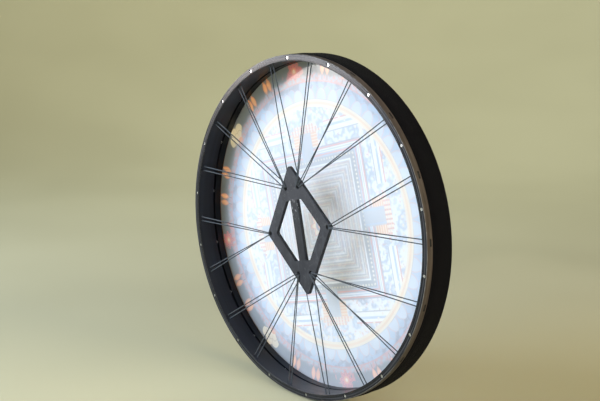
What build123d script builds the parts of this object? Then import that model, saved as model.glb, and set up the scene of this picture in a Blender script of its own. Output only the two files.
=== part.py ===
"""Tunable frame drum with a laced hand grip.

Frame: the origin is on the drum's axis, in the middle of the grip plate's thickness. +Y points
along the axis to the drumhead, +Z is up and -Y is the open side that the hand reaches into.
Angles go clockwise as seen from the open side, starting at +Z. All lengths are in millimetres.

The head is tuned from inside: set screws run through the shell from its rear edge, cross an
open gap and push the bearing ring, with the drumhead on it, away from the shell.
"""
from build123d import *
from math import cos, radians, sin, sqrt
import os

# ---- Driving dimensions ----
SHELL_OUTER_R = 330.0
HOOP_WALL = 12.0
SHELL_DEPTH = 39.5
TUNING_GAP = 5.0
RING_DEPTH = 17.0
REAR_Y = -7.5                 # rear edge of the shell, measured from the grip plate's mid-plane
REAR_EDGE_ROUND = 1.0

RING_STEP = 0.8               # the bearing ring is this much smaller than the shell outside
BEARING_CHAMFER = 2.8
BEARING_ROUND = 3.0

FILM = 0.35
HEM_WIDTH = 18.0
HEM_LIP = 3.0                 # the hem reaches this far past the shell's front edge
SKIRT_SHORT = 1.0             # the skirt ends this far before the ring's rear face
TAPE_START = 13.5             # from the rear edge
TAPE_THICKNESS = 1.0
TAPE_INNER_R = SHELL_OUTER_R + 0.85
TAPE_EDGE_DROP = 0.5          # the tape ends this far behind the head's plane

SCREW_COUNT = 18
SCREW_START = -4.8            # angle of the first tuning screw
SCREW_R = 3.0
SCREW_LENGTH = 45.0
SCREW_RECESS = 1.2            # how far the socket end lies below the rear edge
SOCKET_ACROSS_FLATS = 3.0
SOCKET_DEPTH = 3.5
SCREW_CHAMFER = 0.6
SCREW_CLEARANCE_R = 3.5
INSERT_R = 4.2
INSERT_LENGTH = 15.0
RUNNING_CLEARANCE = 0.05
POCKET_CLEARANCE = 0.25
DISC_THICKNESS = 1.5
TIP_GAP = 0.05

STAPLE_COUNT = 36
STAPLE_START = -9.8
STAPLE_WIDTH = 9.0
STAPLE_WIRE = 0.5
STAPLE_LEG = 6.0
STAPLE_DEPTH = 27.0           # from the rear edge

HANDLE_HALF_LENGTH = 127.4    # to the sharp corner, before rounding
HANDLE_HALF_WIDTH = 93.2
HANDLE_THICKNESS = 7.5
HANDLE_TILT = -13.0
HANDLE_DROP = 2.3             # the grip is laced in this far below the axis
HANDLE_TIP_R = 6.0
HANDLE_SIDE_R = 5.0
HANDLE_EDGE_R = 1.2
BAR_HALF_WIDTH = 11.5
BAR_EDGE_R = 3.2
OPENING_HALF_HEIGHT = 58.4
OPENING_SHOULDER = 21.8
OPENING_CORNER = 65.0
OPENING_CORNER_R = 5.0
OPENING_SHOULDER_R = 3.5
GRIP_HOLE_R = 4.25
GRIP_HOLE_CHAMFER = 0.4
TIP_HOLE = (18.0, 82.5)
SIDE_HOLE = 84.8

LACE_R = 1.0
LACE_PAIRS = 18
LACE_START = -14.8            # angle of the first pair of strands
LACE_HOLE_SPACING = 8.5
LACE_HOLE_DEPTH = 8.5         # from the rear edge
LACE_HOLE_R = 1.6
LACE_GROOVE_DEPTH = 1.8
LACE_GROOVE_HALF_WIDTH = 1.3
LACE_PITCH = 2.06             # between neighbouring passes in a grip hole
LACE_CLEARANCE = 0.05
LACE_LIFT = 0.5               # strand's centre above its radius, where it leaves a grip hole
LACE_BEND_R = 1.8
LACE_EASE_R = 4.0
KNOT_R = 2.6
KNOT_OVERLAP = 0.6            # the lace's ends start this far from the knot's centre

# ---- Derived places ----
SHELL_INNER_R = SHELL_OUTER_R - HOOP_WALL
SHELL_FRONT_Y = REAR_Y + SHELL_DEPTH
RING_REAR_Y = SHELL_FRONT_Y + TUNING_GAP
HEAD_Y = RING_REAR_Y + RING_DEPTH
RING_OUTER_R = SHELL_OUTER_R - RING_STEP
SCREW_CIRCLE_R = SHELL_OUTER_R - HOOP_WALL / 2
SCREW_REAR_Y = REAR_Y + SCREW_RECESS
SCREW_TIP_Y = SCREW_REAR_Y + SCREW_LENGTH
DISC_REAR_Y = SCREW_TIP_Y + TIP_GAP
POCKET_END_Y = DISC_REAR_Y + DISC_THICKNESS
POCKET_R = SCREW_R + POCKET_CLEARANCE
LACE_HOLE_Y = REAR_Y + LACE_HOLE_DEPTH
STAPLE_Y = REAR_Y + STAPLE_DEPTH
FACE_LEVEL = HANDLE_THICKNESS / 2 + LACE_R + LACE_LIFT


def around(radius, angle, y=0.0):
    """The point at a radius and a clockwise angle from +Z, at depth y."""
    return Vector(radius * sin(radians(angle)), y, radius * cos(radians(angle)))


def prism(outline, y_low, y_high):
    """A solid with an X-Z outline between two depths."""
    return extrude(Plane.XZ.offset(-y_low) * outline, amount=-(y_high - y_low))


def band(inner_r, outer_r, y_low, y_high):
    return prism(Circle(outer_r) - Circle(inner_r), y_low, y_high)


def axial_rods(radius, y_low, y_high):
    """One rod along Y at each tuning screw's place."""
    rod = prism(Circle(radius), y_low, y_high)
    return [Pos(*around(SCREW_CIRCLE_R, angle)) * rod for angle in screw_angles()]


def screw_angles():
    return [SCREW_START + 360 / SCREW_COUNT * i for i in range(SCREW_COUNT)]


def pair_angles():
    return [LACE_START + 360 / LACE_PAIRS * i for i in range(LACE_PAIRS)]


def radial_frame(angle, radius, y):
    """Plane at a point of the hoop: x clockwise along the rim, z straight out from the axis."""
    along = Vector(cos(radians(angle)), 0, -sin(radians(angle)))
    return Plane(origin=around(radius, angle, y), x_dir=along, z_dir=around(1, angle))


def edges_at(shape, radius, y):
    """The circular edges of a hoop with this radius and depth."""
    return [e for e in shape.edges().filter_by(GeomType.CIRCLE)
            if abs(e.radius - radius) < 1e-3 and abs(e.center().Y - y) < 1e-3]


# ---- Shell and what is fixed to it ----
def make_shell():
    hoop = band(SHELL_INNER_R, SHELL_OUTER_R, REAR_Y, SHELL_FRONT_Y)
    rear_edges = edges_at(hoop, SHELL_INNER_R, REAR_Y) + edges_at(hoop, SHELL_OUTER_R, REAR_Y)
    hoop = fillet(rear_edges, REAR_EDGE_ROUND)
    insert_y = SHELL_FRONT_Y - INSERT_LENGTH
    hoop = hoop - axial_rods(SCREW_CLEARANCE_R, REAR_Y - 1, insert_y)
    hoop = hoop - axial_rods(INSERT_R, insert_y, SHELL_FRONT_Y + 1)
    hoop = hoop - lace_holes()
    hoop = hoop - lace_grooves()
    return hoop - staple_rods(SHELL_OUTER_R - STAPLE_LEG, STAPLE_LEG + 1)


def lace_holes():
    rods = []
    for angle in pair_angles():
        for side in (-0.5, 0.5):
            hole = radial_frame(angle, SHELL_INNER_R / 2, LACE_HOLE_Y) * \
                Pos(side * LACE_HOLE_SPACING, 0) * Circle(LACE_HOLE_R)
            rods.append(extrude(hole, amount=SHELL_OUTER_R - SHELL_INNER_R / 2 + 1))
    return rods


def lace_grooves():
    """The short grooves that sink the lace into the shell's outside, between two holes."""
    bottom_r = SHELL_OUTER_R - LACE_GROOVE_DEPTH
    slot = SlotOverall(LACE_HOLE_SPACING + 2 * LACE_HOLE_R, 2 * LACE_GROOVE_HALF_WIDTH)
    return [extrude(radial_frame(angle, bottom_r, LACE_HOLE_Y) * slot,
                    amount=LACE_GROOVE_DEPTH + 1) for angle in pair_angles()]


def staple_rods(radius, length):
    """A square rod along every staple leg, from a radius outwards."""
    reach = (STAPLE_WIDTH - STAPLE_WIRE) / 2
    wire = Rectangle(STAPLE_WIRE, STAPLE_WIRE)
    return [extrude(radial_frame(angle, radius, STAPLE_Y) * Pos(x, 0) * wire, amount=length)
            for angle in staple_angles() for x in (-reach, reach)]


def staple_angles():
    return [STAPLE_START + 360 / STAPLE_COUNT * i for i in range(STAPLE_COUNT)]


def make_hem():
    hem = band(SHELL_OUTER_R, SHELL_OUTER_R + FILM,
               SHELL_FRONT_Y + HEM_LIP - HEM_WIDTH, SHELL_FRONT_Y + HEM_LIP)
    return hem - staple_rods(SHELL_OUTER_R - 1, 3)


def make_staples():
    """Each staple: a crown bent to the hem's curve and two legs into the shell."""
    crown_r = SHELL_OUTER_R + FILM
    half_wire = STAPLE_WIRE / 2
    ring = band(crown_r, crown_r + STAPLE_WIRE, STAPLE_Y - half_wire, STAPLE_Y + half_wire)
    legs = staple_rods(SHELL_OUTER_R - STAPLE_LEG, STAPLE_LEG + FILM + half_wire)
    staples = []
    for index, angle in enumerate(staple_angles()):
        window = radial_frame(angle, crown_r - 3, STAPLE_Y) * Rectangle(STAPLE_WIDTH, 3)
        staple = ring & extrude(window, amount=6)
        staple = staple + legs[2 * index] + legs[2 * index + 1]
        staples.append(staple.solid())
    return Compound(children=staples)


def make_tape():
    return band(TAPE_INNER_R, TAPE_INNER_R + TAPE_THICKNESS,
                REAR_Y + TAPE_START, HEAD_Y - TAPE_EDGE_DROP)


def make_inserts():
    outer = axial_rods(INSERT_R, SHELL_FRONT_Y - INSERT_LENGTH, SHELL_FRONT_Y)
    bores = axial_rods(SCREW_R + RUNNING_CLEARANCE, SHELL_FRONT_Y - INSERT_LENGTH - 1,
                       SHELL_FRONT_Y + 1)
    return Compound(children=[(rod - bore).solid() for rod, bore in zip(outer, bores)])


# ---- Bearing ring, drumhead and screws ----
def make_ring():
    ring = band(SHELL_INNER_R, RING_OUTER_R, RING_REAR_Y, HEAD_Y)
    ring = fillet(edges_at(ring, RING_OUTER_R, HEAD_Y), BEARING_ROUND)
    ring = chamfer(edges_at(ring, SHELL_INNER_R, HEAD_Y), BEARING_CHAMFER)
    return ring - axial_rods(POCKET_R, RING_REAR_Y - 1, POCKET_END_Y)


def make_drumhead():
    """The film: flat over the ring, round its bearing edge and down its outside."""
    skirt_y = RING_REAR_Y + SKIRT_SHORT
    cup = prism(Circle(RING_OUTER_R + FILM), skirt_y, HEAD_Y + FILM)
    cup = fillet(edges_at(cup, RING_OUTER_R + FILM, HEAD_Y + FILM), BEARING_ROUND + FILM)
    inside = prism(Circle(RING_OUTER_R), skirt_y - 1, HEAD_Y)
    inside = fillet(edges_at(inside, RING_OUTER_R, HEAD_Y), BEARING_ROUND)
    return cup - inside


def make_discs():
    return Compound(children=[d.solid() for d in axial_rods(POCKET_R, DISC_REAR_Y, POCKET_END_Y)])


def make_screw(angle):
    screw = prism(Circle(SCREW_R), SCREW_REAR_Y, SCREW_TIP_Y)
    screw = chamfer(screw.edges().filter_by(GeomType.CIRCLE), SCREW_CHAMFER)
    socket = RegularPolygon(SOCKET_ACROSS_FLATS / 2, 6, major_radius=False)
    screw = screw - prism(socket, SCREW_REAR_Y - 1, SCREW_REAR_Y + SOCKET_DEPTH)
    return Pos(*around(SCREW_CIRCLE_R, angle)) * screw


# ---- Grip plate ----
def on_grip(u, v, y=0.0):
    """A point of the grip plate, from its own u (across) and v (along) to the drum's frame."""
    tilt = radians(HANDLE_TILT)
    v = v - HANDLE_DROP
    return Vector(u * cos(tilt) + v * sin(tilt), y, -u * sin(tilt) + v * cos(tilt))


def round_corners(outline, near, radius):
    """Rounds the outline's corners that lie at the given points."""
    chosen = [v for v in outline.vertices()
              if any(abs(v.X - x) < 0.1 and abs(v.Y - y) < 0.1 for x, y in near)]
    return fillet(chosen, radius)


def make_handle():
    tips = [(0, HANDLE_HALF_LENGTH), (0, -HANDLE_HALF_LENGTH)]
    sides = [(HANDLE_HALF_WIDTH, 0), (-HANDLE_HALF_WIDTH, 0)]
    outline = make_face(Polyline(tips[0], sides[0], tips[1], sides[1], close=True))
    outline = round_corners(outline, tips, HANDLE_TIP_R)
    outline = round_corners(outline, sides, HANDLE_SIDE_R)
    half = HANDLE_THICKNESS / 2
    plate = prism(outline, -half, half)
    rims = [e for e in plate.edges() if abs(abs(e.center().Y) - half) < 1e-3]
    plate = fillet(rims, HANDLE_EDGE_R)

    h, shoulder = OPENING_HALF_HEIGHT, OPENING_SHOULDER
    for side in (-1, 1):
        corners = [(BAR_HALF_WIDTH * side, h), (shoulder * side, h), (OPENING_CORNER * side, 0),
                   (shoulder * side, -h), (BAR_HALF_WIDTH * side, -h)]
        opening = make_face(Polyline(*corners, close=True))
        opening = round_corners(opening, [corners[2]], OPENING_CORNER_R)
        opening = round_corners(opening, [corners[1], corners[3]], OPENING_SHOULDER_R)
        plate = plate - prism(opening, -half - 1, half + 1)

    bar_edges = [e for e in plate.edges().filter_by(Axis.Z)
                 if abs(abs(e.center().X) - BAR_HALF_WIDTH) < 1e-3 and e.length > h]
    plate = fillet(bar_edges, BAR_EDGE_R)
    for u, v in grip_holes().values():
        plate = plate - Pos(u, 0, v) * prism(Circle(GRIP_HOLE_R), -half - 1, half + 1)
    mouths = edges_at(plate, GRIP_HOLE_R, half) + edges_at(plate, GRIP_HOLE_R, -half)
    plate = chamfer(mouths, GRIP_HOLE_CHAMFER)
    plate = Pos(0, 0, -HANDLE_DROP) * plate
    return Rot(0, HANDLE_TILT, 0) * plate


def grip_holes():
    u, v = TIP_HOLE
    return {"upper_left": (-u, v), "upper_right": (u, v), "right": (SIDE_HOLE, 0),
            "lower_right": (u, -v), "lower_left": (-u, -v), "left": (-SIDE_HOLE, 0)}


# ---- Lace ----
# Each grip hole in the order that the lace visits it: the angle its strands fan out around, how
# the lace arrives ("run" along the back face, or a "strand" from the shell) and how each pass
# goes, "up" from the back face to the front or "down" to the back.
LACE_VISITS = [
    ("upper_left", 330, "run", ("up", "up", "up", "down")),
    ("upper_right", 30, "strand", ("up", "down", "down", "down")),
    ("right", 90, "run", ("up", "up", "down")),
    ("lower_right", 150, "run", ("up", "up", "up", "down")),
    ("lower_left", 210, "strand", ("up", "down", "down", "down")),
    ("left", 270, "run", ("up", "up", "down")),
]
FIRST_PAIR = 15               # the pair that the lace goes to first, counted from the top pair


def pass_place(hole, fan, index, count):
    """Where one pass lies: against the hole's outer wall, side by side with the others."""
    u, v = grip_holes()[hole]
    side = (index - (count - 1) / 2) * LACE_PITCH
    room = GRIP_HOLE_R - LACE_R - LACE_CLEARANCE
    out = sqrt(room * room - side * side)
    f = radians(fan + LACE_START - HANDLE_TILT)
    return u + out * sin(f) + side * cos(f), v + out * cos(f) - side * sin(f)


def shell_loop(angle):
    """Through the shell, along its outside and back in, as points of the route."""
    outer = SHELL_OUTER_R - LACE_GROOVE_DEPTH + LACE_R + LACE_CLEARANCE
    points = []
    for side, radii in ((-0.5, (SHELL_INNER_R, outer)), (0.5, (outer, SHELL_INNER_R))):
        for radius in radii:
            plane = radial_frame(angle, radius, LACE_HOLE_Y)
            points.append(plane.from_local_coords(Vector(side * LACE_HOLE_SPACING, 0, 0)))
    return points


def lace_route():
    """Points and bend radii from the knot, round all the pairs and back to the knot."""
    points, bends = [knot_place()], []
    pair = FIRST_PAIR
    for hole, fan, arrival, passes in LACE_VISITS:
        for index, direction in enumerate(passes):
            if index > 0 or arrival == "strand":
                points += shell_loop(pair_angles()[pair % LACE_PAIRS])
                bends += [LACE_EASE_R, LACE_BEND_R, LACE_BEND_R, LACE_EASE_R]
                pair += 1
            u, v = pass_place(hole, fan, index, len(passes))
            levels = (FACE_LEVEL, -FACE_LEVEL) if direction == "up" else (-FACE_LEVEL, FACE_LEVEL)
            points += [on_grip(u, v, level) for level in levels]
            bends += [LACE_BEND_R, LACE_BEND_R]
    points.append(knot_place())
    return points, bends


def knot_place():
    """On the back face, halfway along the limb between the left hole and the upper left one."""
    left, upper = grip_holes()["left"], grip_holes()["upper_left"]
    level = HANDLE_THICKNESS / 2 + KNOT_R + LACE_CLEARANCE
    return on_grip((left[0] + upper[0]) / 2, (left[1] + upper[1]) / 2, level)


def make_lace():
    """The cord, a tube along its route; its two ends stop at the knot."""
    points, bends = lace_route()
    knot = points[0]
    for end, neighbour in ((0, 1), (-1, -2)):
        points[end] = knot + (points[neighbour] - knot).normalized() * KNOT_OVERLAP
    path = FilletPolyline(*points, radius=bends)
    start = Plane(origin=points[0], z_dir=points[1] - points[0])
    tube = sweep(start * Circle(LACE_R), path=path)
    print("lace: length %.0f, bends %s" % (path.length, sorted(set(bends))))
    return tube - make_knot()


def make_knot():
    return Pos(*knot_place()) * Sphere(KNOT_R)


# ---- Export ----
def main():
    os.makedirs("parts", exist_ok=True)
    pieces = {
        "shell": make_shell(), "bearing_ring": make_ring(), "drumhead": make_drumhead(),
        "drumhead_hem": make_hem(), "hem_staples": make_staples(), "rim_tape": make_tape(),
        "grip_plate": make_handle(), "lace": make_lace(),
        "lace_knot": make_knot(), "threaded_inserts": make_inserts(), "thrust_discs": make_discs(),
    }
    for number, angle in enumerate(screw_angles(), 1):
        pieces["tuning_screw_%02d" % number] = make_screw(angle)
    for name, shape in pieces.items():
        export_step(shape, "parts/%s.step" % name)


main()
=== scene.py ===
"""The looks of the frame drum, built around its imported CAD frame. Metres, in the CAD frame:
+Y runs along the drum's axis to the head, -Y is the open side with the grip, +Z is up."""
from math import cos, hypot, pi, radians, sin

import bpy
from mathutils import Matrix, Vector, noise


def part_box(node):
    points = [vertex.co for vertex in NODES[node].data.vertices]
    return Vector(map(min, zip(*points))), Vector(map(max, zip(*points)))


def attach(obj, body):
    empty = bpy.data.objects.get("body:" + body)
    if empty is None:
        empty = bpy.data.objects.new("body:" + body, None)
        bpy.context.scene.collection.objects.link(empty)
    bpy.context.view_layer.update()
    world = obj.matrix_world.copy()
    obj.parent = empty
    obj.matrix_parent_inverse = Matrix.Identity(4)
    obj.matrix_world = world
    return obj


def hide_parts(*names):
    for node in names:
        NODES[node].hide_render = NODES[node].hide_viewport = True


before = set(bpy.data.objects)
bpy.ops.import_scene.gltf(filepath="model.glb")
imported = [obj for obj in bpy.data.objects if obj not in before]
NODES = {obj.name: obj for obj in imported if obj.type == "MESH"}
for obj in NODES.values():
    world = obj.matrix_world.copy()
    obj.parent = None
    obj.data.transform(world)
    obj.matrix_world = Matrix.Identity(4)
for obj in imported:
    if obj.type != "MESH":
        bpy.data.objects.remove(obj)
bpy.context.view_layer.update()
MM = 0.001

# ---- Places worked out from the frame ----
SHELL_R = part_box("shell")[1].x
REAR_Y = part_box("shell")[0].y
RING_FRONT_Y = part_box("bearing_ring")[1].y
HEAD_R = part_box("drumhead")[1].x
SKIRT_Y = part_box("drumhead")[0].y
HEAD_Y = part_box("drumhead")[1].y
FILM = HEAD_Y - RING_FRONT_Y
TAPE_START_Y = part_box("rim_tape")[0].y
TAPE_END_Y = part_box("rim_tape")[1].y
FLOOR_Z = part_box("rim_tape")[0].z

# ---- Sizes the frame doesn't give; turns are in degrees, clockwise from +Z on the open side ----
WALL = 12 * MM
LACE_START = -14.8            # the first pair of strands
LACE_STEP = 20.0              # from pair to pair
LACE_HOLE_Y = REAR_Y + 8.5 * MM
STAPLE_START = -9.8
STAPLE_STEP = 10.0
GRIP_TILT = -13.0
BAR_HALF_WIDTH = 11.4 * MM
BAR_HALF_LENGTH = 58.0 * MM
PRINT_TURN = LACE_START
HEAD_ROUND_R = 3.0 * MM       # the rounded bearing edge that the film bends over
TAPE_THICKNESS = 1.0 * MM
TAPE_LAP = 8.0                # degrees


# ---- Node materials, written as arithmetic ----
class Field:
    """A number that varies over a surface: a float socket that ordinary arithmetic works on."""

    def __init__(self, tree, socket):
        self.tree, self.socket = tree, socket

    def calc(self, operation, *others):
        """One Math node on this field and the others."""
        node = self.tree.nodes.new("ShaderNodeMath")
        node.operation = operation
        for socket, value in zip(node.inputs, (self,) + others):
            if isinstance(value, Field):
                self.tree.links.new(value.socket, socket)
            else:
                socket.default_value = value
        return Field(self.tree, node.outputs[0])

    def __add__(self, other):
        return self.calc("ADD", other)

    def __sub__(self, other):
        return self.calc("SUBTRACT", other)

    def __rsub__(self, other):
        return self.calc("MULTIPLY", -1.0).calc("ADD", other)

    def __mul__(self, other):
        return self.calc("MULTIPLY", other)

    def __truediv__(self, other):
        return self.calc("DIVIDE", other)

    def abs(self):
        return self.calc("ABSOLUTE")

    def sin(self):
        return self.calc("SINE")

    def cos(self):
        return self.calc("COSINE")

    def fract(self):
        return self.calc("FRACT")

    def max(self, other):
        return self.calc("MAXIMUM", other)

    def min(self, other):
        return self.calc("MINIMUM", other)

    def length(self, other):
        """The hypotenuse of the two."""
        return (self * self + other * other).calc("SQRT")

    def ramp(self, low, high, start=0.0, end=1.0):
        """start below low, end above high and a smooth change between."""
        node = self.tree.nodes.new("ShaderNodeMapRange")
        node.interpolation_type = "SMOOTHSTEP"
        self.tree.links.new(self.socket, node.inputs[0])
        for index, value in enumerate((low, high, start, end), 1):
            node.inputs[index].default_value = value
        return Field(self.tree, node.outputs[0])

    def band(self, centre, half, soft):
        """1 where the value lies within half of centre, 0 elsewhere."""
        return (self - centre).abs().ramp(half - soft, half + soft, 1.0, 0.0)

    def above(self, limit, soft):
        """1 above limit, 0 below."""
        return self.ramp(limit - soft, limit + soft)

    def below(self, limit, soft):
        """1 below limit, 0 above."""
        return self.ramp(limit - soft, limit + soft, 1.0, 0.0)


class Surface:
    """A Principled material with its object coordinates ready as fields: x, y, z and radius in
    metres, and angle in radians, clockwise from +Z on the open side."""

    def __init__(self, name):
        self.material = bpy.data.materials.new(name)
        self.material.use_nodes = True
        self.tree = self.material.node_tree
        self.tree.nodes.clear()
        self.output = self.add("OutputMaterial")
        self.shader = self.add("BsdfPrincipled")
        self.link(self.shader.outputs[0], self.output.inputs[0])
        self.coords = self.add("TexCoord").outputs["Object"]
        split = self.add("SeparateXYZ")
        self.link(self.coords, split.inputs[0])
        self.x, self.y, self.z = (Field(self.tree, s) for s in split.outputs)
        self.radius = self.x.length(self.z)
        self.angle = self.x.calc("ARCTAN2", self.z)

    def add(self, kind):
        """A new shader node, by its type's name."""
        return self.tree.nodes.new("ShaderNode" + kind)

    def link(self, a, b):
        self.tree.links.new(a, b)

    def point(self, x, y, z):
        """A place to look a texture up at, from fields or numbers."""
        node = self.add("CombineXYZ")
        for socket, value in zip(node.inputs, (x, y, z)):
            if isinstance(value, Field):
                self.link(value.socket, socket)
            else:
                socket.default_value = value
        return node.outputs[0]

    def noise(self, scale, detail=3.0, rough=0.55, at=None):
        """Fractal noise from 0 to 1, with scale bumps to the metre."""
        node = self.add("TexNoise")
        self.link(at or self.coords, node.inputs["Vector"])
        node.inputs["Scale"].default_value = scale
        node.inputs["Detail"].default_value = detail
        node.inputs["Roughness"].default_value = rough
        return Field(self.tree, node.outputs["Fac"])

    def mix(self, a, b, factor):
        """Colour a turning to colour b as factor goes from 0 to 1. Colours are tuples or sockets."""
        node = self.add("Mix")
        node.data_type = "RGBA"
        if isinstance(factor, Field):
            self.link(factor.socket, node.inputs[0])
        else:
            node.inputs[0].default_value = factor
        for socket, colour in ((node.inputs[6], a), (node.inputs[7], b)):
            if isinstance(colour, tuple):
                socket.default_value = colour + (1.0,)
            else:
                self.link(colour, socket)
        return node.outputs[2]

    def set(self, **values):
        """Shader inputs by name, with _ for a space: numbers, colours, fields or sockets."""
        for name, value in values.items():
            socket = self.shader.inputs[name.replace("_", " ")]
            if isinstance(value, Field):
                self.link(value.socket, socket)
            elif isinstance(value, tuple):
                socket.default_value = value + (1.0,)
            elif isinstance(value, (int, float)):
                socket.default_value = value
            else:
                self.link(value, socket)
        return self

    def bump(self, height, distance):
        """Raises the surface by up to distance metres where height is 1."""
        node = self.add("Bump")
        node.inputs["Distance"].default_value = distance
        self.link(height.socket, node.inputs["Height"])
        self.link(node.outputs[0], self.shader.inputs["Normal"])
        return self


# ---- Materials ----
def hoop_paint(name, bare_edge):
    """Satin black paint over bent ply, thin and brown on the outside, with the plies showing in the
    rear edge. bare_edge is for the ring: bare wood on the bearing edge, and no lace round it."""
    s = Surface(name)
    along = s.angle * SHELL_R
    depth = (SHELL_R - s.radius) / WALL
    grain = s.noise(90, 4, 0.6, s.point(along * 0.06, s.y, s.radius))
    fine = s.noise(900, 2)
    blotch = s.noise(14, 3)
    colour = s.mix((0.0022, 0.0026, 0.0050), (0.0055, 0.0068, 0.0120), grain.ramp(0.35, 0.7))

    outside = s.radius.ramp(SHELL_R - 0.9 * MM, SHELL_R - 0.2 * MM)
    skew = s.noise(160, 5, 0.6, s.point((along + s.y * 2.0) * 0.05, s.y, s.radius))
    brown = s.mix((0.045, 0.036, 0.034), (0.092, 0.078, 0.073), skew.ramp(0.3, 0.7))
    brown = s.mix(brown, (0.033, 0.027, 0.025), blotch.ramp(0.45, 0.75) * 0.6)
    # Near black where the lace loops between its holes: black paint in the groove, and painted shade
    # of the groove and the holes.
    if not bare_edge:
        brown = s.mix(brown, (0.003, 0.003, 0.004), lace_groove_shade(s) * 0.95)
    colour = s.mix(colour, brown, outside)

    streaks = s.noise(520, 3, 0.6, s.point(along * 0.02, s.y, s.radius))
    plies_per_wall = 2.5
    plies = (depth * (2 * pi * plies_per_wall)).cos() * 0.12 + streaks
    edge = s.mix((0.007, 0.008, 0.011), (0.034, 0.035, 0.041), plies.ramp(0.36, 0.68))
    edge = s.mix(edge, (0.0045, 0.0052, 0.0075), depth.ramp(0.55, 0.78, 0.0, 0.85))
    # Pale along the rear face's outer corner: worn paint, and a painted highlight where that rounded
    # edge catches the light.
    worn_corner_glint = depth.below(0.09, 0.04) * streaks.ramp(0.36, 0.50)
    edge = s.mix(edge, (0.22, 0.215, 0.21), worn_corner_glint * 0.75)
    rear = s.y.below(REAR_Y + 0.5 * MM, 0.4 * MM)
    colour = s.mix(colour, edge, rear)
    inner_corner = depth.band(1.0, 0.06, 0.03) * s.y.below(REAR_Y + 1.0 * MM, 0.5 * MM)
    colour = s.mix(colour, (0.09, 0.085, 0.08), inner_corner * fine.ramp(0.48, 0.60) * 0.7)

    rough = grain.ramp(0.3, 0.7, 0.32, 0.40) + (blotch - 0.5) * 0.12 + outside * 0.28
    rough = rough + rear * (plies.ramp(0.36, 0.68) * 0.10 - 0.12)
    if bare_edge:
        edge_y = RING_FRONT_Y - HEAD_ROUND_R
        chamfer = s.y.ramp(edge_y, edge_y + 0.4 * MM)
        wood = s.mix((0.42, 0.20, 0.075), (0.24, 0.105, 0.04), grain.ramp(0.35, 0.65))
        colour = s.mix(colour, wood, chamfer)
        rough = rough + chamfer * 0.2
    s.set(Base_Color=colour, Roughness=rough, Specular_IOR_Level=0.24)
    return s.bump(grain * 0.7 + fine * 0.3 + streaks * rear, 0.12 * MM).material


def lace_groove_shade(s):
    """1 where the lace loops from hole to hole on the shell's outside, and the shell is painted near
    black there: black paint in the groove, and painted shade of the groove and the holes.
    """
    half_long, half_wide, soft = 6.6 * MM, 2.1 * MM, 0.6 * MM
    pair = ((s.angle - radians(LACE_START)) / radians(LACE_STEP) + 0.5).fract() - 0.5
    off_pair = pair * (radians(LACE_STEP) * SHELL_R)
    return off_pair.abs().below(half_long, soft) * s.y.band(LACE_HOLE_Y, half_wide, soft)


def grip_paint():
    """Matte dark grey paint on ply, rubbed and blotched. The bar is glossier, ridged and chipped."""
    s = Surface("grip_paint")
    tilt = radians(GRIP_TILT)
    u = s.x * cos(tilt) - s.z * sin(tilt)
    v = s.x * sin(tilt) + s.z * cos(tilt)
    bar = u.abs().below(BAR_HALF_WIDTH, 0.3 * MM) * v.abs().below(BAR_HALF_LENGTH, 1.0 * MM)
    orange_peel = s.noise(420, 2)
    blotch = s.noise(32, 5, 0.65)
    brushed = s.noise(150, 4, 0.6, s.point(u, s.y, v * 0.12))
    ridges = s.noise(110, 4, 0.6, s.point(u * 2.0, s.y, v * 0.35))
    colour = s.mix((0.006, 0.008, 0.013), (0.022, 0.023, 0.028), blotch.ramp(0.36, 0.64))
    colour = s.mix(colour, (0.030, 0.034, 0.044), brushed.ramp(0.50, 0.70) * 0.6)
    colour = s.mix(colour, (0.006, 0.007, 0.011), bar * ridges.ramp(0.35, 0.65))
    rub = s.noise(150, 5, 0.7).ramp(0.54, 0.66) * 0.5
    colour = s.mix(colour, (0.050, 0.048, 0.050), rub * (1.0 - bar))
    chips = s.noise(230, 3, 0.6, s.point(u, s.y, v * 0.4)).ramp(0.58, 0.64)
    upper_end = v.ramp(0.0, 50.0 * MM)
    colour = s.mix(colour, (0.22, 0.22, 0.23), chips * upper_end * bar * 0.9)
    rough = blotch.ramp(0.3, 0.7, 0.50, 0.62) - bar * 0.16
    s.set(Base_Color=colour, Roughness=rough, Specular_IOR_Level=0.32)
    return s.bump(orange_peel * 0.2 + brushed * 0.3 + bar * ridges, 0.35 * MM).material


def canvas():
    """Black plain-weave canvas: warp round the hoop, weft across, and a fuzz of light fibres."""
    s = Surface("canvas_tape")
    warp_pitch, weft_pitch = 1.9 * MM, 2.1 * MM
    across = (s.y / warp_pitch * pi).sin()
    along = s.angle * (SHELL_R / weft_pitch) * pi
    over = (across * along.sin()).ramp(-0.3, 0.3)
    rows = across.abs() * over + along.sin().abs() * (1.0 - over)
    threads = across.abs().max(along.cos().abs())
    fuzz = s.noise(2200, 2)
    patch = s.noise(22, 3)
    colour = s.mix((0.0004, 0.0004, 0.0009), (0.0036, 0.0038, 0.0070), rows * threads)
    colour = s.mix(colour, (0.014, 0.016, 0.024), fuzz.ramp(0.60, 0.72) * 0.6)
    colour = s.mix(colour, (0.0024, 0.0023, 0.0038), patch.ramp(0.4, 0.75) * 0.5)
    s.set(Base_Color=colour, Roughness=0.92, Specular_IOR_Level=0.07, Sheen_Weight=0.01,
          Sheen_Roughness=0.5)
    return s.bump(rows + fuzz * 0.25, 0.45 * MM).material


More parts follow.
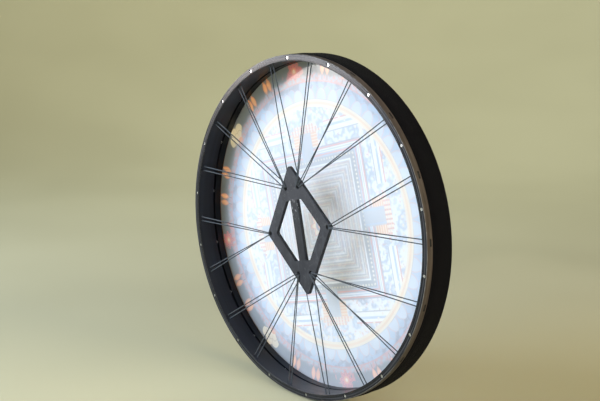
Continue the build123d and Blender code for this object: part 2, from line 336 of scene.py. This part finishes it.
def braid():
    """Dark polyester cord: two crossing sets of strands, paler on their crests, and painted darker
    where it loops round the outside of the shell, as painted shade of the groove and the holes it
    lies in."""
    s = Surface("lace_cord")
    lay = s.radius / (2.6 * MM)
    twist = s.y / (2.0 * MM)
    one = ((lay + twist) * pi).sin().abs()
    other = ((lay - twist) * pi).sin().abs()
    strands = one.max(other)
    fibre = s.noise(1800, 2)
    colour = s.mix((0.018, 0.023, 0.028), (0.090, 0.108, 0.126), strands * fibre.ramp(0.2, 0.8))
    # Painted shade: the cord is darker where it lies in the shell's groove and holes.
    loop_shade = s.radius.ramp(SHELL_R - 5 * MM, SHELL_R - 2 * MM, 0.0, 0.8)
    colour = s.mix(colour, (0.008, 0.009, 0.011), loop_shade)
    s.set(Base_Color=colour, Roughness=0.62, Specular_IOR_Level=0.4)
    return s.bump(strands + fibre * 0.3, 0.25 * MM).material


def steel():
    """Bright zinc-plated steel with fine turning marks and faint stains."""
    s = Surface("bright_steel")
    marks = s.noise(2600, 2, 0.5, s.point(s.x, s.y * 0.2, s.z))
    stain = s.noise(380, 3)
    colour = s.mix((0.80, 0.80, 0.79), (0.62, 0.63, 0.64), stain.ramp(0.4, 0.7))
    s.set(Base_Color=colour, Metallic=1.0, Roughness=marks.ramp(0.3, 0.7, 0.20, 0.34))
    return s.bump(marks, 0.02 * MM).material


def brass():
    """Dull brass, a little uneven in tone."""
    s = Surface("insert_metal")
    marks = s.noise(1500, 2)
    colour = s.mix((0.58, 0.42, 0.17), (0.42, 0.28, 0.11), marks.ramp(0.35, 0.7))
    s.set(Base_Color=colour, Metallic=1.0, Roughness=marks.ramp(0.3, 0.7, 0.30, 0.45))
    return s.bump(marks, 0.02 * MM).material


# ---- The printed film. Its sizes are shares of the head's radius ----
TEAL = (0.012, 0.050, 0.060)
OLIVE = (0.040, 0.075, 0.055)
DEEP_BLUE = (0.040, 0.10, 0.23)
SKY = (0.24, 0.44, 0.66)
CORAL = (0.66, 0.12, 0.045)
MAROON = (0.20, 0.030, 0.028)
OCHRE = (0.72, 0.33, 0.06)
CREAM = (0.78, 0.70, 0.50)
WHITE = (0.78, 0.83, 0.88)
GREEN = (0.08, 0.20, 0.17)
SLATE = (0.16, 0.22, 0.30)
HAZE = (0.34, 0.40, 0.48)
PETAL = (0.48, 0.60, 0.74)
LEAF_LIGHT = (0.86, 0.58, 0.20)
LOTUS_RIB = (0.40, 0.30, 0.14)
PALE_FILM = (0.79, 0.83, 0.89)
LINE = 0.0016                 # softness of the print's edges


class Print:
    """Coordinates for the round print: u and v across, r outward and theta in whole turns."""

    def __init__(self, s):
        turn = radians(PRINT_TURN)
        self.s = s
        self.u = (s.x * cos(turn) - s.z * sin(turn)) / SHELL_R
        self.v = (s.x * sin(turn) + s.z * cos(turn)) / SHELL_R
        self.r = s.radius / SHELL_R
        self.theta = (s.angle - turn) / (2 * pi)
        self.mottle = s.noise(60, 4)
        self.detail = s.noise(150, 3)

    def sector(self, count, phase=0.0):
        """Arc length from the middle of the nearest of count equal sectors."""
        return ((self.theta * count + 0.5 + phase).fract() - 0.5) * (2 * pi / count) * self.r


def print_colour(s):
    """A round print of plain figures: nested squares with four gates inside ring bands, and
    leaves, lotuses and rosettes on the rim."""
    p = Print(s)
    palace_half, rim_middle = 0.60, 0.92
    colour = s.mix(clouds(p), palace(p), p.u.abs().max(p.v.abs()).below(palace_half, LINE))
    colour = heart(p, colour)
    colour = ring_bands(p, colour)
    for count, phase, figure in ((32, 0.5, leaves), (4, 0.5, lotus), (4, 0.0, rosette)):
        colour = figure(p, colour, p.sector(count, phase), p.r - rim_middle)
    return colour


def clouds(p):
    """Curling pale clouds on blue, from the walls out to the ring bands."""
    s = p.s
    curls = (s.noise(34, 2) * 26.0).sin() * 0.5 + 0.5
    colour = s.mix(SKY, WHITE, curls.ramp(0.15, 0.85, 0.2, 0.9))
    colour = s.mix(colour, DEEP_BLUE, curls.below(0.08, 0.06) * 0.35)
    return s.mix(colour, CORAL, p.detail.ramp(0.58, 0.64) * 0.6)


def palace(p):
    """The walled square: coloured quarters under thin stepped lines, a beaded yard, walls and the
    four gates."""
    s = p.s
    au, av = p.u.abs(), p.v.abs()
    square, small = au.max(av), au.min(av)
    colour = stepped_quarters(p, au - av, square)

    yard_from, wall_from, clouds_from = 0.337, 0.3885, 0.453
    bead_ring, bead_step, bead_r = 0.375, 0.024, 0.0065
    beads = (square - bead_ring).length(((small / bead_step).fract() - 0.5) * bead_step)
    yard = s.mix(SKY, HAZE, p.mottle.ramp(0.45, 0.55))
    yard = s.mix(SLATE, yard, square.above(wall_from, 0.0035))
    yard = s.mix(yard, CREAM, beads.below(bead_r, LINE))
    colour = s.mix(colour, yard, square.above(yard_from, 0.001))
    for tone, place, half in ((WHITE, 0.344, 0.005), (CORAL, 0.402, 0.004), (WHITE, 0.424, 0.010),
                              (SKY, 0.424, 0.003), (CORAL, 0.440, 0.004), (SLATE, 0.449, 0.003)):
        colour = s.mix(colour, tone, square.band(place, half, LINE))
    colour = s.mix(colour, clouds(p), square.above(clouds_from, 0.001))

    beside_gate = small.above(0.173, 0.001)
    for tone, place, half in ((WHITE, 0.555, 0.030), (SKY, 0.560, 0.007), (CORAL, 0.588, 0.004),
                              (SLATE, 0.524, 0.003)):
        colour = s.mix(colour, tone, square.band(place, half, LINE) * beside_gate)
    return gates(p, colour, square, small)


def stepped_quarters(p, side, square):
    """Quarters of four colours, paler outward, with square lines stepped over them. side is above
    0 in the left and right quarters."""
    s = p.s
    step_width = 0.042
    warm = s.mix(GREEN, SLATE, p.v.above(0.0, LINE))
    cool = s.mix(OLIVE, DEEP_BLUE, p.u.above(0.0, LINE))
    colour = s.mix(warm, cool, side.above(0.0, LINE))
    colour = s.mix(colour, HAZE, square.ramp(0.02, 0.28, 0.25, 0.85))
    colour = s.mix(colour, CREAM, p.detail.ramp(0.50, 0.60) * 0.6)
    step = (square / step_width).fract()
    lines = ((WHITE, 0.28, 0.12), (SLATE, 0.50, 0.06), (CREAM, 0.66, 0.07), (CORAL, 0.86, 0.05))
    for tone, place, half in lines:
        colour = s.mix(colour, tone, step.band(place, half, 0.05) * 0.6)
    return colour


def gates(p, colour, square, small):
    """A gate in the middle of each wall: a striped porch, a door and three tiers of tiled roof."""
    s = p.s
    stripe_step, tile_step = 0.018, 0.026
    porch_half, door_half = 0.105, 0.052
    porch = small.below(porch_half, LINE) * square.band(0.50, 0.045, LINE)
    stripes = (square / stripe_step).fract().band(0.5, 0.2, 0.08)
    colour = s.mix(colour, s.mix(OCHRE, CREAM, stripes), porch)
    path = small.below(door_half, LINE) * square.band(0.462, 0.084, LINE)
    door = s.mix(HAZE, SKY, small.band(0.040, 0.004, LINE))
    colour = s.mix(colour, door, path)
    tiles = s.mix(CORAL, CREAM, (small / tile_step).fract().band(0.5, 0.32, 0.06))
    for low, high, half in ((0.546, 0.560, 0.150), (0.563, 0.577, 0.120), (0.580, 0.596, 0.090)):
        roof = small.below(half, LINE) * square.band((low + high) / 2, (high - low) / 2, LINE)
        colour = s.mix(colour, tiles, roof)
    return colour


def heart(p, colour):
    """A ring of eight petals round a small disc at the centre."""
    s = p.s
    petal_count, petal_r, petal_depth = 8, 0.068, 0.014
    petals = p.r - ((p.theta * (2 * pi * petal_count)).cos() * petal_depth + petal_r)
    for tone, edge in ((CORAL, petals), (CREAM, petals + 0.009), (DEEP_BLUE, p.r - 0.038),
                       (OCHRE, p.r - 0.020), (WHITE, p.r - 0.008)):
        colour = s.mix(colour, tone, edge.below(0.0, LINE))
    return colour


def ring_bands(p, colour):
    """From the inside: pearls, a cream ring, lotus petals on blue, coral haze, and the dark rim."""
    s = p.s
    pearl_ring, pearl_count, pearl_r = 0.668, 90, 0.009
    cream_from, blue_from, haze_from, soft = 0.6955, 0.7395, 0.8475, 0.0015
    pearls = (p.r - pearl_ring).length(p.sector(pearl_count))
    colour = s.mix(colour, CREAM, pearls.below(pearl_r, LINE))
    cream_ring = s.mix(CREAM, OCHRE, p.r.band(0.718, 0.007, LINE) * 0.5)
    colour = s.mix(colour, cream_ring, p.r.above(cream_from, soft))
    blue = s.mix(SKY, DEEP_BLUE, p.mottle.ramp(0.42, 0.60))
    colour = s.mix(colour, blue, p.r.above(blue_from, soft))
    colour = lotus_petals(p, colour)
    haze = s.mix(HAZE, CORAL, p.detail.ramp(0.44, 0.62) * 0.7)
    rim = s.mix(TEAL, OLIVE, p.mottle.ramp(0.42, 0.60))
    uneven_r = p.r + (p.mottle - 0.5) * 0.06
    rim = s.mix(haze, rim, uneven_r.ramp(0.872, 0.900))
    colour = s.mix(colour, rim, p.r.above(haze_from, soft))
    return s.mix(colour, CORAL, p.r.band(0.845, 0.004, LINE) * 0.7)


def lotus_petals(p, colour):
    """Two rows of round-topped petals, the front row paler, with coral edges."""
    s = p.s
    count, foot, half_width = 48, 0.745, 0.045
    for phase, top, tone in ((0.5, 0.822, SKY), (0.0, 0.806, PETAL)):
        arch = (p.r - foot) / (top - foot)
        half = (1.0 - arch * arch).max(0.0).calc("SQRT") * half_width
        petal = p.sector(count, phase).abs() - half
        inside = petal.below(0.0, LINE) * p.r.above(foot - 0.0025, 0.0015)
        colour = s.mix(colour, tone, inside)
        colour = s.mix(colour, CORAL, inside * (petal + 0.007).ramp(-0.003, 0.002) * 0.5)
    return colour


def rosette(p, colour, across, out):
    """Eight coral petals round a cream eye, with a curl of coral cloud on each side."""
    s = p.s
    petal_count, petal_r, petal_depth = 8, 0.052, 0.009
    rho = across.length(out)
    phi = across.calc("ARCTAN2", out)
    swirl = (s.noise(34, 2) * 20.0).sin()
    cloud = (across * 0.45).length(out + 0.02).below(petal_r, 0.006) * swirl.ramp(-0.2, 0.3)
    colour = s.mix(colour, CORAL, cloud * 0.8)
    petals = rho - ((phi * petal_count).cos() * petal_depth + petal_r)
    colour = s.mix(colour, CORAL, petals.below(0.0, LINE))
    colour = s.mix(colour, MAROON, (petals + 0.012).band(0.0, 0.0022, LINE))
    colour = s.mix(colour, OCHRE, rho.below(0.022, LINE))
    return s.mix(colour, CREAM, rho.below(0.011, LINE))


def lotus(p, colour, across, out):
    """A cream lotus seen from the side, on an ochre foot."""
    s = p.s
    foot, foot_r, petal_r, petal_depth = 0.062, 0.028, 0.098, 0.020
    rho = across.length(out + foot)
    phi = across.calc("ARCTAN2", out + foot)
    lobes = (phi * 4.5).cos().abs()
    outline = lobes * petal_depth + petal_r
    inside = (rho - outline).below(0.0, LINE) * phi.abs().below(1.05, 0.02)
    colour = s.mix(colour, CREAM, inside)
    ribs = lobes.below(0.10, 0.05) * rho.above(0.035, 0.005)
    inner_row = (rho - outline * 0.62).band(0.0, 0.0025, LINE)
    colour = s.mix(colour, LOTUS_RIB, inside * ribs.max(inner_row) * 0.85)
    return s.mix(colour, OCHRE, (rho - foot_r).below(0.0, LINE) * phi.abs().below(1.6, 0.02))


def leaves(p, colour, across, out):
    """Two ochre leaves side by side on stems, left out where a larger figure stands."""
    s = p.s
    apart, half_width, half_height, middle = 0.021, 0.019, 0.046, 0.006
    larger_figures = 8
    off_figure = 0.5 - ((p.theta * larger_figures).fract() - 0.5).abs()
    clear = off_figure.above(0.20, 0.01)
    off_leaf = (across.abs() - apart).abs()
    tall = (out - middle) / half_height
    leaf = off_leaf - (1.0 - tall * tall) * half_width
    stem = off_leaf.below(0.003, LINE) * out.band(-0.050, 0.018, LINE)
    colour = s.mix(colour, MAROON, stem * clear)
    colour = s.mix(colour, OCHRE, leaf.below(0.0, LINE) * clear)
    light = (leaf + 0.008).below(0.0, 0.004)
    return s.mix(colour, LEAF_LIGHT, light * clear * 0.7)


def film(name, milk, veil, through):
    """Glossy film with the print under a milky layer. milk is how much that layer hides, and
    through is the share of the light that comes through from the other side. The print tints that
    light, apart from the share that veil takes: painted light, a pale wash over the middle that
    stands in for the lit film and falls away towards the rim, leaving the print strong there as in
    the shade of the hoop's wall."""
    s = Surface(name)
    colour = print_colour(s)
    cloud = s.noise(9, 3)
    s.set(Base_Color=s.mix(colour, PALE_FILM, milk), Roughness=cloud.ramp(0.35, 0.65, 0.10, 0.16),
          IOR=1.6)
    s.bump(s.noise(11, 2) + s.noise(160, 2) * 0.02, 0.25 * MM)
    glow = s.add("BsdfTranslucent")
    # Painted light: the pale wash is strong in the middle and weak at the rim.
    lit_veil = (s.radius / SHELL_R).ramp(0.78, 0.92, veil, veil * 0.12)
    s.link(s.mix(colour, PALE_FILM, lit_veil), glow.inputs[0])
    both = s.add("MixShader")
    both.inputs[0].default_value = through
    s.link(s.shader.outputs[0], both.inputs[1])
    s.link(glow.outputs[0], both.inputs[2])
    s.link(both.outputs[0], s.output.inputs[0])
    return s.material


# ---- Mesh helpers ----
def new_object(name, vertices, faces, materials):
    """A smooth-shaded mesh object in the scene."""
    mesh = bpy.data.meshes.new(name)
    mesh.from_pydata([tuple(v) for v in vertices], [], faces)
    for material in materials:
        mesh.materials.append(material)
    mesh.polygons.foreach_set("use_smooth", [True] * len(mesh.polygons))
    mesh.update()
    obj = bpy.data.objects.new(name, mesh)
    bpy.context.scene.collection.objects.link(obj)
    return obj


def rim_point(radius, turn, y):
    """A point round the drum's axis; turn is in degrees, clockwise from +Z on the open side."""
    return Vector((radius * sin(radians(turn)), y, radius * cos(radians(turn))))


def arc(centre_r, centre_y, radius, start, end, steps):
    """Profile points on an arc; angles in degrees from the outward direction towards +Y."""
    angles = [radians(start + (end - start) * i / steps) for i in range(steps + 1)]
    return [(centre_r + radius * cos(a), centre_y + radius * sin(a)) for a in angles]


# ---- Drumhead ----
def build_drumhead():
    """A closed thin film: disc, rounded bearing edge and skirt, inside and outside."""
    ring_r = HEAD_R - FILM
    flat_r, round_y = ring_r - HEAD_ROUND_R, RING_FRONT_Y - HEAD_ROUND_R
    segments, round_steps = 288, 8
    disc = [0.99, 0.97, 0.93, 0.85, 0.7, 0.5, 0.3, 0.12, 0.03]
    inside = [(ring_r, SKIRT_Y)] + arc(flat_r, round_y, HEAD_ROUND_R, 0, 90, round_steps)
    inside += [(share * flat_r, RING_FRONT_Y) for share in disc]
    outside = [(share * flat_r, HEAD_Y) for share in reversed(disc)]
    outside += arc(flat_r, round_y, HEAD_ROUND_R + FILM, 90, 0, round_steps)
    outside.append((HEAD_R, SKIRT_Y))
    profile = inside + outside
    vertices = [rim_point(r, 360 * i / segments, y) for r, y in profile for i in range(segments)]
    inner_pole, outer_pole = len(vertices), len(vertices) + 1
    vertices += [Vector((0, RING_FRONT_Y, 0)), Vector((0, HEAD_Y, 0))]
    faces, slots = [], []
    last_inside = len(inside) - 1
    for row in range(len(profile)):
        this, after = row * segments, (row + 1) % len(profile) * segments
        for i in range(segments):
            j = (i + 1) % segments
            if row == last_inside:
                faces.append((this + i, this + j, inner_pole))
                faces.append((after + j, after + i, outer_pole))
                slots += [0, 1]
            else:
                faces.append((this + i, this + j, after + j, after + i))
                slots.append(0 if row < last_inside else 1)
    back = film("printed_film_back", milk=0.95, veil=0.56, through=0.50)
    front = film("printed_film_front", milk=0.04, veil=0.30, through=0.70)
    obj = new_object("drumhead_film", vertices, faces, [back, front])
    obj.data.polygons.foreach_set("material_index", slots)
    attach(obj, "bearing_ring")
    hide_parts("drumhead")


# ---- Rim tape ----
def build_tape():
    """A woven band wound once round the drum: it hugs the shell and the hem beneath, rises over the
    staples, and laps over its own start."""
    steps, start_turn = 720, 205.0
    lift_from, lift_turn, lap_lift = 357, 3, 1.05 * MM
    slack, hem_slope = 0.05 * MM, 7 * MM
    bulge_along, bulge_across = 11 * MM, 6 * MM
    waviness, fray = 0.05, 0.28 * MM
    hem_low, hem_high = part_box("drumhead_hem")
    staple_low, staple_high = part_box("hem_staples")
    hem_rise = hem_high.x - SHELL_R + 0.10 * MM
    staple_rise = staple_high.x - SHELL_R - hem_rise + 0.05 * MM
    staple_y = (staple_low.y + staple_high.y) / 2
    across = profile_across(TAPE_START_Y, TAPE_END_Y, TAPE_THICKNESS)
    vertices, faces = [], []
    for i in range(steps + 1):
        turn = start_turn + (360 + TAPE_LAP) * i / steps
        lap = min(max((turn - start_turn - lift_from) / lift_turn, 0.0), 1.0)
        place = rim_point(SHELL_R, turn, 0)
        off_staple = (turn / STAPLE_STEP - STAPLE_START / STAPLE_STEP + 0.5) % 1.0 - 0.5
        along_staple = off_staple * radians(STAPLE_STEP) * SHELL_R
        for out, y, edge in across:
            wave = noise.noise(place * 22 + Vector((0, y * 30, 3.7)))
            ragged = noise.noise(place * 90 + Vector((0, 9.1 * edge, 0)))
            off_bulge = hypot(along_staple / bulge_along, (y - staple_y) / bulge_across)
            rise = slack + hem_rise * ease((y - hem_low.y + hem_slope) / hem_slope)
            rise += staple_rise * ease(2 - off_bulge) + lap_lift * lap
            radius = SHELL_R + rise + out * (1 + waviness * wave)
            vertices.append(rim_point(radius, turn, y - edge * fray * abs(ragged)))
    count = len(across)
    for i in range(steps):
        this, after = i * count, (i + 1) * count
        for k in range(count):
            n = (k + 1) % count
            faces.append((this + k, after + k, after + n, this + n))
    faces.append(tuple(range(count)))
    faces.append(tuple(steps * count + k for k in reversed(range(count))))
    obj = new_object("canvas_tape", vertices, faces, [canvas()])
    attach(obj, "shell")
    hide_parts("rim_tape")


def ease(share):
    """0 below 0, 1 above 1 and a smooth change between."""
    share = min(max(share, 0.0), 1.0)
    return share * share * (3 - 2 * share)


def profile_across(low, high, thick):
    """The tape's section once round, as (height above what it lies on, y, which selvedge), with
    the selvedges -1 and 1 and 0 between them."""
    middle = [0.02, 0.05, 0.09, 0.13, 0.18, 0.23, 0.28, 0.34, 0.40, 0.46, 0.52, 0.58, 0.65, 0.75,
              0.85, 0.94, 0.98]
    width = high - low
    top = [(thick, low + share * width, 0) for share in middle]
    bottom = [(0.0, low + share * width, 0) for share in reversed(middle)]
    left = [(0.15 * thick, low + 0.1 * thick, -1), (0.5 * thick, low, -1),
            (0.85 * thick, low + 0.1 * thick, -1)]
    right = [(0.85 * thick, high - 0.1 * thick, 1), (0.5 * thick, high, 1),
             (0.15 * thick, high - 0.1 * thick, 1)]
    return left + top + right + bottom


# ---- Lace knot ----
def build_knot():
    """A pulled-tight knot where the lace's two ends meet: one closed trefoil loop of cord."""
    low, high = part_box("lace_knot")
    centre = (low + high) / 2
    size = (high.x - low.x) / 2
    cord_r = 0.36 * size
    steps, sides = 96, 10
    trefoil_r, height = 3.0, 1.15
    scale = (size - cord_r) / trefoil_r
    points = []
    for i in range(steps):
        t = 2 * pi * i / steps
        bend = Vector((sin(t) + 2 * sin(2 * t), -height * sin(3 * t), cos(t) - 2 * cos(2 * t)))
        points.append(centre + bend * scale)
    vertices, faces = [], []
    for i, point in enumerate(points):
        ahead = (points[(i + 1) % steps] - points[i - 1]).normalized()
        side = ahead.cross(point - centre).normalized()
        up = side.cross(ahead)
        for k in range(sides):
            a = 2 * pi * k / sides
            vertices.append(point + (side * cos(a) + up * sin(a)) * cord_r)
    for i in range(steps):
        this, after = i * sides, (i + 1) % steps * sides
        for k in range(sides):
            n = (k + 1) % sides
            faces.append((this + k, this + n, after + n, after + k))
    obj = new_object("tied_knot", vertices, faces, [materials["lace_cord"]])
    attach(obj, "shell")
    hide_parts("lace_knot")


# ---- Materials on the CAD nodes ----
materials = {
    "shell": hoop_paint("shell_paint", False),
    "bearing_ring": hoop_paint("ring_paint", True),
    "grip_plate": grip_paint(),
    "lace_cord": braid(),
    "steel": steel(),
    "brass": brass(),
}


def dress(node, material):
    """Gives a CAD node one material all over."""
    slots = NODES[node].data.materials
    slots.clear()
    slots.append(material)


def dress_cad_nodes():
    """A finished material for every CAD node that stays visible."""
    for node in ("shell", "bearing_ring", "grip_plate"):
        dress(node, materials[node])
    dress("lace", materials["lace_cord"])
    dress("threaded_inserts", materials["brass"])
    for node in NODES:
        if node.startswith("tuning_screw") or node in ("hem_staples", "thrust_discs"):
            dress(node, materials["steel"])
    dress("drumhead_hem", film("hem_film", milk=0.3, veil=0.0, through=0.2))


# ---- Stage, lights and camera ----
def build_stage():
    """A pale paper floor that sweeps up all round, well outside every view's camera."""
    floor_r, wall_r, sweep_height, wall_top = 2.6, 5.8, 2.2, 4.2
    segments, sweep_steps = 96, 32
    profile = [(0.4, 0.0), (1.2, 0.0), (2.0, 0.0)]
    for i in range(sweep_steps + 1):
        a = pi / 2 * i / sweep_steps
        profile.append((floor_r + (wall_r - floor_r) * sin(a), sweep_height * (1 - cos(a))))
    profile.append((wall_r, wall_top))
    vertices = [Vector((r * cos(2 * pi * i / segments), r * sin(2 * pi * i / segments), z))
                for r, z in profile for i in range(segments)]
    faces = [tuple(reversed(range(segments)))]
    for row in range(len(profile) - 1):
        this, after = row * segments, (row + 1) * segments
        for i in range(segments):
            j = (i + 1) % segments
            faces.append((this + i, this + j, after + j, after + i))
    s = Surface("paper")
    mottle = s.noise(0.8, 2)
    colour = s.mix((0.445, 0.425, 0.280), (0.485, 0.465, 0.310), mottle.ramp(0.3, 0.7))
    s.set(Base_Color=colour, Roughness=0.9, Specular_IOR_Level=0.2)
    floor = new_object("paper_sweep", vertices, faces, [s.material])
    floor.location.z = FLOOR_Z


def area_light(name, at, target, size, power, colour, spread=180):
    """A soft lamp that the camera doesn't see, at one point and aimed at another. spread is the full
    angle in degrees that the light is thrown into."""
    light = bpy.data.lights.new(name, "AREA")
    light.shape = "RECTANGLE"
    light.size, light.size_y = size
    light.energy = power
    light.color = colour
    light.spread = radians(spread)
    obj = bpy.data.objects.new(name, light)
    bpy.context.scene.collection.objects.link(obj)
    aim = Vector(target) - Vector(at)
    obj.rotation_euler = aim.to_track_quat("-Z", "Y").to_euler()
    obj.location = at
    obj.visible_camera = False
    return obj


def build_lights():
    """Window light on the left of the open side, soft fills all round, a lamp on the backdrop, and a
    beam on the head's front that shows through the film."""
    cool, warm, amber = (0.66, 0.80, 1.0), (1.0, 0.88, 0.80), (1.0, 0.78, 0.40)
    cream, ivory, lime = (1.0, 0.96, 0.88), (1.0, 0.95, 0.86), (0.98, 1.0, 0.90)
    peach, sky, sky_strength = (1.0, 0.95, 0.90), (0.70, 0.80, 1.0), 0.15
    area_light("window", (-1.7, -2.5, 1.22), (0, 0, 0), (2.6, 2.25), 88, cool, spread=120)
    area_light("low_window", (-2.5, -1.95, 0.42), (0, 0, 0.1), (1.3, 0.7), 12, warm, spread=100)
    area_light("right_fill", (2.8, 0.35, 1.5), (0, 0, 0), (1.6, 1.6), 52, amber)
    area_light("front_fill", (2.6, -2.4, 1.8), (0, 0, 0), (2.0, 2.0), 32, cream)
    area_light("side_fill", (3.2, -0.6, 1.8), (0, 0.6, 0), (2.0, 2.0), 46, ivory)
    area_light("backdrop", (-0.9, 1.2, 3.2), (-4.3, 4.0, 2.2), (2.4, 1.6), 150, lime)
    beam = area_light("beam", (-0.03, 1.5, 0.15), (-0.03, 0, 0.11), (0.9, 0.9), 4.2, peach, spread=32)
    beam.visible_glossy = False
    world = bpy.data.worlds.new("studio")
    world.use_nodes = True
    background = world.node_tree.nodes["Background"]
    background.inputs["Color"].default_value = sky + (1.0,)
    background.inputs["Strength"].default_value = sky_strength
    bpy.context.scene.world = world


def build_camera():
    """A camera to the right of the axis and above it, looking down at the open side."""
    looks_down, turned_left = 10.08, 48.66
    camera = bpy.data.cameras.new("camera")
    camera.lens = 59.5
    camera.sensor_width = 36.0
    obj = bpy.data.objects.new("camera", camera)
    obj.location = (1.3911, -1.2219, 0.3844)
    obj.rotation_euler = (radians(90 - looks_down), 0, radians(turned_left))
    bpy.context.scene.collection.objects.link(obj)
    bpy.context.scene.camera = obj


build_camera()
build_stage()
build_lights()
dress_cad_nodes()
build_drumhead()
build_tape()
build_knot()
bpy.context.scene.view_settings.view_transform = "Standard"
